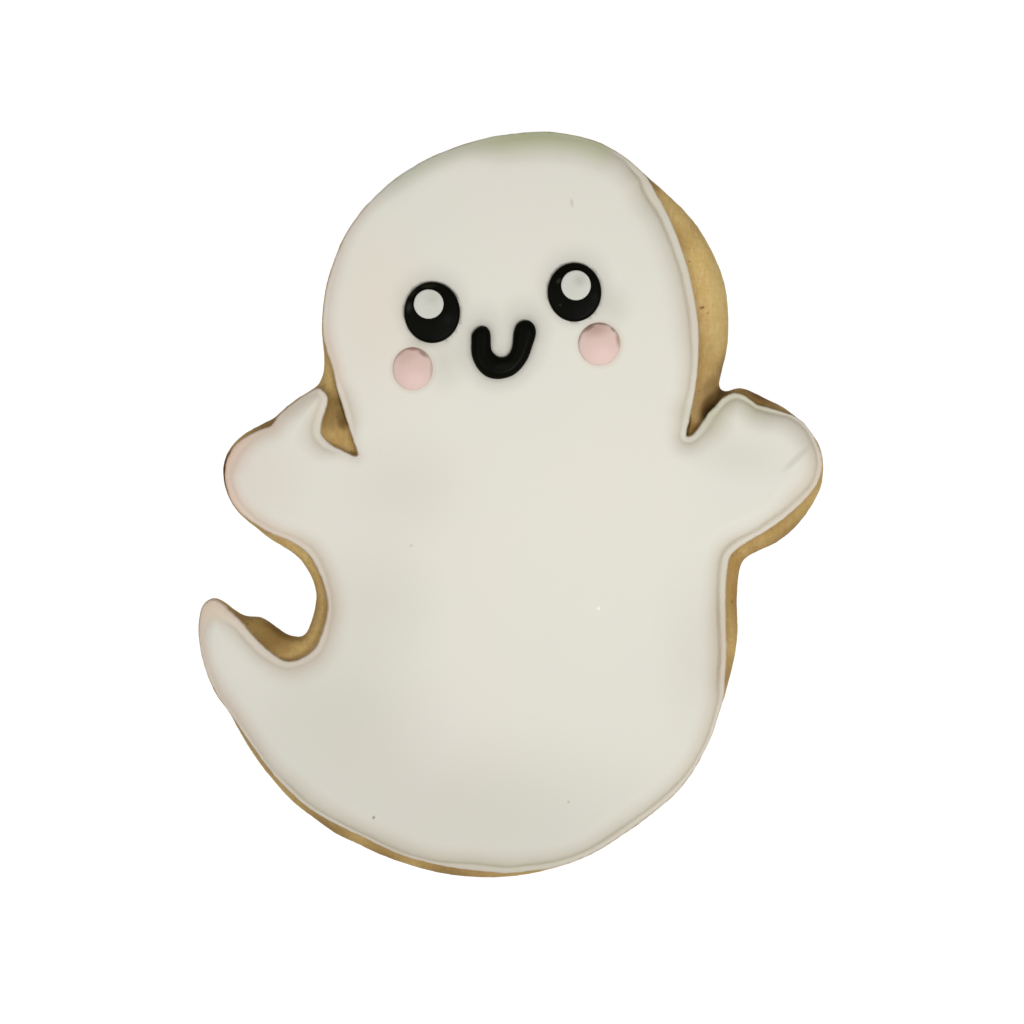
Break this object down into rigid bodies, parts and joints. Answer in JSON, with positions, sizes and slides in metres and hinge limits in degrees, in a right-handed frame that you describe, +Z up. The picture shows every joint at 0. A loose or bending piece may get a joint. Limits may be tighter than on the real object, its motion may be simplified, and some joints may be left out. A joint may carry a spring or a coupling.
{
  "type": "iced sugar cookie",
  "caption": "Ghost-shaped cut-out sugar cookie with raised arms and a curled tail, covered in a pillowy sheet of white icing with a smiling face in black, white and pink icing.",
  "frame": {"origin": "on the underside, below the middle of the outline's box; the cookie lies flat with its iced face up", "axes": "+Z up out of the iced face, +Y towards the crown of the head, +X to the right as seen from above"},
  "size_m": [0.0836, 0.1, 0.0104],
  "materials": {
    "biscuit": "dry baked dough, pale gold and finely grained",
    "white_icing": "satin set icing, warm off-white",
    "black_icing": "satin black icing",
    "highlight_icing": "satin off-white icing",
    "pink_icing": "satin pale pink icing"
  },
  "bodies": {
    "root": {"biscuit": "biscuit", "white_icing": "white_icing", "left_eye": "black_icing", "right_eye": "black_icing", "mouth": "black_icing", "left_eye_highlight": "highlight_icing", "right_eye_highlight": "highlight_icing", "left_cheek": "pink_icing", "right_cheek": "pink_icing"}
  },
  "joints": []
}
